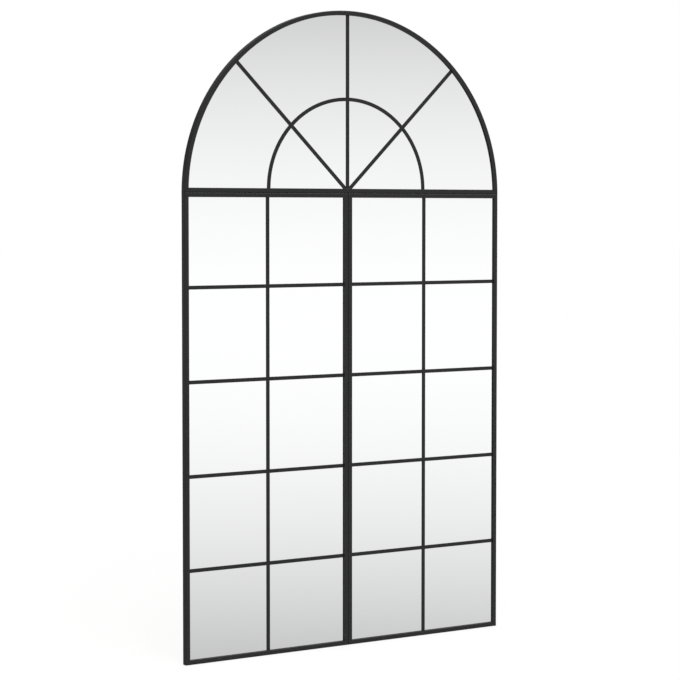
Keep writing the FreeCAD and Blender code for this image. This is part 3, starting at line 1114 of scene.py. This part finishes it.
# %% [markdown]
# Every frame has eight tongues, spaced so that no stretch of board can bow: three along each stile of a
# leaf and one on each rail, three along the fanlight's base and five round its arch. Their places could be
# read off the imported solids, but here too a rule says more. On the arch the flat leg spans the curve, so
# its seat lies a hair inside the circle. All tongues are bent to one template, so the tree sets the same
# pattern on every seat, and the pattern itself then goes.

# %% Twenty-four tongues
bar_shares = (0.2, 0.5, 0.8)
arch_seats = [math.radians(degrees) for degrees in (18, 54, 90, 126, 162)]


def tongue_seats(name):
    """Seats of a frame's tongues on the inner faces of its bars: x, z and the direction they point."""
    if name == "fan":
        radius = math.sqrt((half_width - bar_wall) ** 2 - (tongue_width / 2) ** 2)
        seats = [(half_width * (2 * share - 1), arch_z + bar_wall, upright) for share in bar_shares]
        for a in arch_seats:
            seats.append((radius * math.cos(a), arch_z + radius * math.sin(a), a + math.pi))
        return seats
    left, bottom, right, top = leaf_edges[name]
    heights = [top - (top - bottom) * share for share in bar_shares]
    middle = (left + right) / 2
    seats = [(left + bar_wall, z, 0.0) for z in heights] + [(right - bar_wall, z, math.pi) for z in heights]
    return [*seats, (middle, top - bar_wall, -upright), (middle, bottom + bar_wall, upright)]


for name in three_frames:
    tongues = set_on_seats(f"{name}_bent_tongues", tongue, tongue_seats(name), sheet_paint)
    hand_over(tongues, "sheet_steel", f"{name}_retaining_tongues")
    print(tongues.name, "has", len(tongues.data.polygons), "faces")
bpy.data.objects.remove(tongue)

# %% [markdown]
# A weld bead is a run of small overlapping pools of steel. It swells and narrows along its length and fades
# at both ends. A smooth rope would look like glue, and sculpting each bead would take a day. So the tree
# sweeps a circle along short lines and waves its size by a set pitch, with a seeded random share, because
# no two pools are quite alike.

# %% Tree of a weld bead
ripple_points = 6
bead_sides = 10
ripple_share, mean_share = 0.12, 0.9
least_chance, most_chance = 0.9, 1.08
end_share = 0.1
end_power = 4.0
bead_inputs = {"Bead Radius": "Float", "Ripple Pitch": "Float", "Seed": "Int", "Material": "Material"}
bead_tree, given = open_tree("weld bead", bead_inputs)
pitch = given["Ripple Pitch"]
step = add(bead_tree, "ShaderNodeMath", {1: ripple_points}, {0: pitch}, operation="DIVIDE")
line = add(bead_tree, "GeometryNodeMeshToCurve", links={"Mesh": given["Geometry"]})
line = add(bead_tree, "GeometryNodeResampleCurve", links={"Curve": line, "Length": step}, mode="LENGTH")
along = add(bead_tree, "GeometryNodeSplineParameter").outputs
waves = add(bead_tree, "ShaderNodeMath", links={0: along["Length"], 1: pitch}, operation="DIVIDE")
angle = add(bead_tree, "ShaderNodeMath", {1: 2 * math.pi}, {0: waves}, operation="MULTIPLY")
wave = add(bead_tree, "ShaderNodeMath", links={0: angle}, operation="SINE")
ripples = {1: ripple_share, 2: mean_share}
ripple = add(bead_tree, "ShaderNodeMath", ripples, {0: wave}, operation="MULTIPLY_ADD")
chances = {"Min": least_chance, "Max": most_chance}
chance = add(bead_tree, "FunctionNodeRandomValue", chances, {"Seed": given["Seed"]}, data_type="FLOAT")
halves = {1: 2.0, 2: -1.0}  # from -1 at one end to 1 at the other
from_middle = add(bead_tree, "ShaderNodeMath", halves, {0: along["Factor"]}, operation="MULTIPLY_ADD")
fade = add(bead_tree, "ShaderNodeMath", {1: end_power}, {0: from_middle}, operation="POWER")
fade = add(bead_tree, "ShaderNodeMath", {0: 1 + end_share}, {1: fade}, operation="SUBTRACT")
swell = add(bead_tree, "ShaderNodeMath", links={0: ripple, 1: fade}, operation="MULTIPLY")
swell = add(bead_tree, "ShaderNodeMath", links={0: swell, 1: chance}, operation="MULTIPLY")
circle = {"Resolution": bead_sides}
ring = add(bead_tree, "GeometryNodeCurvePrimitiveCircle", circle, {"Radius": given["Bead Radius"]})
sweep = {"Curve": line, "Profile Curve": ring, "Scale": swell}
bead = add(bead_tree, "GeometryNodeCurveToMesh", {"Fill Caps": True}, sweep)
close_tree(bead_tree, bead, given["Material"])
print("tree:", bead_tree.name, "with", len(bead_tree.nodes), "nodes")

# %% [markdown]
# The frames' corners and the legs of the tongues are welded from behind, where nobody grinds the beads
# flat. They could be left to a bump in the paint, but a bead stands a millimetre proud and shows in outline.
# So each corner gets a line from the board to near the wall, each tongue a line across its leg, and the
# beads of a frame are one piece that rides with it.

# %% Beads in corners and at tongues
tongue_bead = 10 * MM
corner_bead_end = -2 * MM
bead_sizes = {"Bead Radius": 0.7 * MM, "Ripple Pitch": 1.5 * MM, "Seed": 7, "Material": bar_paint}
for name in three_frames:
    lines = []
    for x, z, way in tongue_seats(name):
        inward = Vector((math.cos(way), 0, math.sin(way)))
        sideways = Vector((-math.sin(way), 0, math.cos(way)))
        middle = at(x, z, tongue_back_y) + inward * tongue_thickness / 2
        half_bead = sideways * tongue_bead / 2
        lines.append(([middle - half_bead, middle + half_bead], 0.0, 0.0))
    corners = outline_of(name, bar_wall)
    if name == "fan":
        corners = [corners[0], corners[-1]]
    lines += [([at(x, z, board_back_y), at(x, z, corner_bead_end)], 0.0, 0.0) for x, z in corners]
    beads = grow(f"{name}_weld_beads", guide_lines(name, lines), bead_tree, bead_sizes)
    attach(beads, "root")
    print(beads.name, "holds", len(lines), "beads")

# %% [markdown]
# The mirror hangs from two keyhole plates, punched from sheet and welded into the leaves' top corners.
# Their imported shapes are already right, but every edge is knife-sharp. They could be modelled again, which
# would only repeat the same outlines. So each is copied, its loose triangles are joined up, and its sharp
# edges are rounded as a punch, a die and a coat of paint leave them.

# %% Rounded copies of the plates
join_distance = 0.001 * MM
flat_angle = math.radians(1)
plate_edge = 0.2 * MM


def joined_copy(node):
    """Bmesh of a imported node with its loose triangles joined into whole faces."""
    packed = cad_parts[node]
    mesh = bmesh.new()
    corners = [mesh.verts.new(packed.matrix_world @ vertex.co) for vertex in packed.data.vertices]
    for triangle in packed.data.polygons:
        mesh.faces.new([corners[i] for i in triangle.vertices])
    bmesh.ops.remove_doubles(mesh, verts=mesh.verts, dist=join_distance)
    bmesh.ops.dissolve_limit(mesh, angle_limit=flat_angle, verts=mesh.verts, edges=mesh.edges)
    return mesh


for leaf in leaf_sides:
    mesh = joined_copy(f"{leaf}_hanger_plate")
    rounded_edges(mesh, plate_edge)
    plate = shade(finished(f"{leaf}_keyhole_plate", mesh, [sheet_paint]))
    hand_over(plate, "sheet_steel", f"{leaf}_hanger_plate")
    print(plate.name, "has", len(plate.data.polygons), "faces")

# %% [markdown]
# The screws are bought, black and countersunk with a cross recess. All eight could be copied like the
# plates, but they are alike, so one is enough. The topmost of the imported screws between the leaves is
# copied, rounded and moved to the origin, and the tree sets it on the seats that were drilled before.

# %% Eight screws
screw_edge = 0.06 * MM


def screw_pattern():
    """Packed screw with rounded edges, its head on the plane x = 0 and its tip along +X."""
    top_z = screw_high.z - head_radius
    mesh = joined_copy("mullion_screws")
    others = [vertex for vertex in mesh.verts if vertex.co.z < top_z - 2 * head_radius]
    bmesh.ops.delete(mesh, geom=others, context="VERTS")
    bmesh.ops.translate(mesh, verts=mesh.verts, vec=-at(screw_low.x, top_z, 0))
    rounded_edges(mesh, screw_edge)
    return finished("screw_pattern", mesh)


screw = screw_pattern()
for joint, seats in screw_seats.items():
    screws = set_on_seats(f"{joint}_joining_screws", screw, seats, screw_finish)
    hand_over(screws, "screw_steel", f"{joint}_screws")
    print(screws.name, "has", len(screws.data.polygons), "faces")
bpy.data.objects.remove(screw)

# %% [markdown]
# The photograph is a long-lens view from the left whose upright lines stay parallel. A camera does that
# with its lens shifted down instead of tilted, and a full match would take a shift of about 0.2. But every
# other view keeps the shift, and so much would push the mirror out of its frame. So the shift is small and
# a tilt of two and a half degrees does the rest. Place, turn and lens were found by matching the mirror's
# outline to the photograph.

# %% Camera at the photograph's view
camera_place = (-2.19702, -3.73313, -0.00692)
camera_yaw = math.radians(30.3314)
camera_pitch = math.radians(-2.5258)
camera_lens = 103.615
camera_shift = -0.06
camera_data = bpy.data.cameras.new("photo_view")
camera_data.lens = camera_lens
camera_data.shift_y = camera_shift
camera = new_object("photo_view", camera_data)
camera.location = camera_place
camera.rotation_euler = (upright + camera_pitch, 0, -camera_yaw)
bpy.context.scene.camera = camera
print("camera:", camera_lens, "mm lens at", camera_place)

# %% [markdown]
# A mirror shows its room, and this one stands in a white studio. Its panes are white just below eye level
# and fall softly to grey above and below, as if they faced a large lit screen with dim edges. The screen
# could be a mesh behind the camera, but it would stand in the way of other views. So the world itself is
# the screen: a formula of the ray's height in degrees. A gentle tail keeps steep rays from going black, and
# a pale floor brightens what lies underfoot.

# %% Lit screen in the reflections
band_height = -3.3
band_peak = 1.012
fall_above, fall_below = 0.0045, 0.005
tail_level, tail_fall = 0.5, 0.004
knee = 0.3
floor_gain = 0.45
floor_from, floor_to = -13, -55
soft = {"interpolation_type": "SMOOTHSTEP"}
world = bpy.data.worlds.new("white_studio")
bpy.context.scene.world = world
world.use_nodes = True
sky = world.node_tree
sky.nodes.clear()
ray = add(sky, "ShaderNodeTexCoord").outputs["Generated"]
axes = add(sky, "ShaderNodeSeparateXYZ", links={"Vector": ray}).outputs
climb = add(sky, "ShaderNodeMath", links={0: axes["Z"]}, operation="ARCSINE")
climb = add(sky, "ShaderNodeMath", links={0: climb}, operation="DEGREES")
from_band = add(sky, "ShaderNodeMath", {1: band_height}, {0: climb}, operation="SUBTRACT")
above = add(sky, "ShaderNodeMath", {1: 0.0}, {0: from_band}, operation="GREATER_THAN")
falls = {1: fall_above - fall_below, 2: fall_below}
fall = add(sky, "ShaderNodeMath", falls, {0: above}, operation="MULTIPLY_ADD")
square = add(sky, "ShaderNodeMath", {1: 2.0}, {0: from_band}, operation="POWER")
drop = add(sky, "ShaderNodeMath", links={0: square, 1: fall}, operation="MULTIPLY")
band = add(sky, "ShaderNodeMath", {0: band_peak}, {1: drop}, operation="SUBTRACT")
distance = add(sky, "ShaderNodeMath", links={0: from_band}, operation="ABSOLUTE")
tail = add(sky, "ShaderNodeMath", {1: -tail_fall, 2: tail_level}, {0: distance}, operation="MULTIPLY_ADD")
band = add(sky, "ShaderNodeMath", {2: knee}, {0: band, 1: tail}, operation="SMOOTH_MAX")
floor_span = {"From Min": floor_from, "From Max": floor_to, "To Min": 0.0, "To Max": floor_gain}
underfoot = add(sky, "ShaderNodeMapRange", floor_span, {"Value": climb}, **soft)
screen = add(sky, "ShaderNodeMath", links={0: band, 1: underfoot}, operation="ADD")
print("screen: brightest at", band_height, "degrees")

# %% [markdown]
# The rest of the studio gives the black bars their edges. It is darker behind the mirror and beside the
# camera, which draws a thin dark line along each rounded edge, and lamps high overhead put a pale line on
# what faces up. Real lamps would light the matt faces as well and wash out the black. So these are more
# terms of the same formula: two that dim the screen, and two that add light from above.

# %% Dim sides and overhead lamps
behind_from, behind_to, behind_level = -0.2, 0.6, 0.38
camera_side = (-0.906, -0.423, 0.0)
side_from, side_to, side_level = 0.45, 0.85, 0.8
overhead_from, overhead_to, overhead_gain = 15, 60, 0.8
lamp_way = (0.55, -0.1, 0.83)
lamp_from, lamp_to, lamp_gain = 0.74, 0.96, 4.2
sideways = add(sky, "ShaderNodeVectorMath", {1: camera_side}, {0: ray}, operation="DOT_PRODUCT")
towards = add(sky, "ShaderNodeVectorMath", {1: lamp_way}, {0: ray}, operation="DOT_PRODUCT")
spans = {
    "behind": (axes["Y"], behind_from, behind_to, 1.0, behind_level),
    "beside": (sideways, side_from, side_to, 1.0, side_level),
    "overhead": (climb, overhead_from, overhead_to, 0.0, overhead_gain),
    "lamps": (towards, lamp_from, lamp_to, 0.0, lamp_gain),
}
terms = {}
for name, (measure, start, end, first, last) in spans.items():
    span = {"From Min": start, "From Max": end, "To Min": first, "To Max": last}
    terms[name] = add(sky, "ShaderNodeMapRange", span, {"Value": measure}, **soft)
dim = add(sky, "ShaderNodeMath", links={0: terms["behind"], 1: terms["beside"]}, operation="MULTIPLY")
high_up = add(sky, "ShaderNodeMath", links={0: terms["overhead"], 1: terms["lamps"]}, operation="ADD")
studio = add(sky, "ShaderNodeMath", links={0: screen, 1: dim, 2: high_up}, operation="MULTIPLY_ADD")
print("studio terms:", list(terms))

# %% [markdown]
# The camera should see a plain white background, matt faces should get even light, and glossy ones should
# see the studio. Light Path tells what kind of ray asks, and the strength follows that. Cycles could also
# sample the world as a lamp, but such rays are of no kind that the formula knows. With that switched off,
# every ray that reaches the world was sent by a surface's own shader.

# %% One strength for each kind of ray
white = 1.0
matt_level = 1.0
world.cycles.sampling_method = "NONE"
path = add(sky, "ShaderNodeLightPath").outputs
lit = add(sky, "ShaderNodeMix", {"A": matt_level}, {"Factor": path["Is Glossy Ray"], "B": studio})
straight = {0: path["Is Camera Ray"], 1: path["Is Transmission Ray"]}
direct = add(sky, "ShaderNodeMath", links=straight, operation="MAXIMUM")
strength = add(sky, "ShaderNodeMix", {"B": white}, {"Factor": direct, "A": lit})
background = add(sky, "ShaderNodeBackground", {"Color": linear("#ffffff")}, {"Strength": strength})
add(sky, "ShaderNodeOutputWorld", links={"Surface": background})
print("world:", world.name, "with", len(sky.nodes), "nodes")

# %% [markdown]
# The studio's floor is white and has no horizon. A white floor under lamps would be grey where it meets the
# background. So to the camera it is mostly self-lit, which joins it to the white behind, and a share of
# plain matt white keeps the mirror's shadow on it. Reflections skip it, because the studio's formula
# already holds a floor of its own.

# %% White floor
floor_reach = 40.0
self_lit_share = 0.8
floor_corners = [(-1, -1), (1, -1), (1, 1), (-1, 1)]
floor_points = [(x * floor_reach, y * floor_reach, cad_low.z) for x, y in floor_corners]
floor_mesh = bpy.data.meshes.new("studio_floor")
floor_mesh.from_pydata(floor_points, [], [(0, 1, 2, 3)])
floor_paint, tree, surface, _ = new_material("matt_white_floor")
feed(tree, surface, {"Base Color": linear("#fefefe"), "Roughness": 0.9, "Specular IOR Level": 0.0})
glow = add(tree, "ShaderNodeEmission", {"Strength": white})
by_camera = add(tree, "ShaderNodeLightPath").outputs["Is Camera Ray"]
seen = add(tree, "ShaderNodeMath", {1: self_lit_share}, {0: by_camera}, operation="MULTIPLY")
blend = add(tree, "ShaderNodeMixShader", links={0: seen, 1: surface, 2: glow})
feed(tree, tree.nodes["Material Output"], links={"Surface": blend})
floor_mesh.materials.append(floor_paint)
floor = new_object("studio_floor", floor_mesh)
floor.visible_glossy = False
floor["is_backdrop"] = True
print("floor at", round(cad_low.z, 4))

# %% [markdown]
# Studio light comes from a wide soft box above and in front. The even world alone would leave no shadow to
# stand on, and a small lamp would draw a hard one. So one wide area lamp, aimed at the mirror's middle,
# gives the shadow its direction. Neither the camera nor the reflections see it, or the panes would show a
# bright square.

# %% Soft lamp
lamp_place = Vector((-1.0, -2.4, 2.2))
lamp_power = 30
lamp_size = 1.8
lamp_data = bpy.data.lights.new("soft_lamp", "AREA")
lamp_data.energy = lamp_power
lamp_data.size = lamp_size
lamp = new_object("soft_lamp", lamp_data)
lamp.location = lamp_place
lamp.rotation_euler = (-lamp_place).to_track_quat("-Z", "Y").to_euler()
lamp.visible_glossy = False
lamp.visible_camera = False
bpy.context.scene.view_settings.view_transform = "Standard"
print("lamp:", lamp_power, "W and", lamp_size, "m wide")

# %% [markdown]
# A dressed part has to keep the size of the imported one, because rooms are planned with that. It could be
# judged by eye, but a number is surer. So the last cell prints the dressed box, to set beside the imported
# one that the first cell printed.

# %% Size of the dressed mirror
low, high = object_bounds()
print("visual box", list(low), list(high))
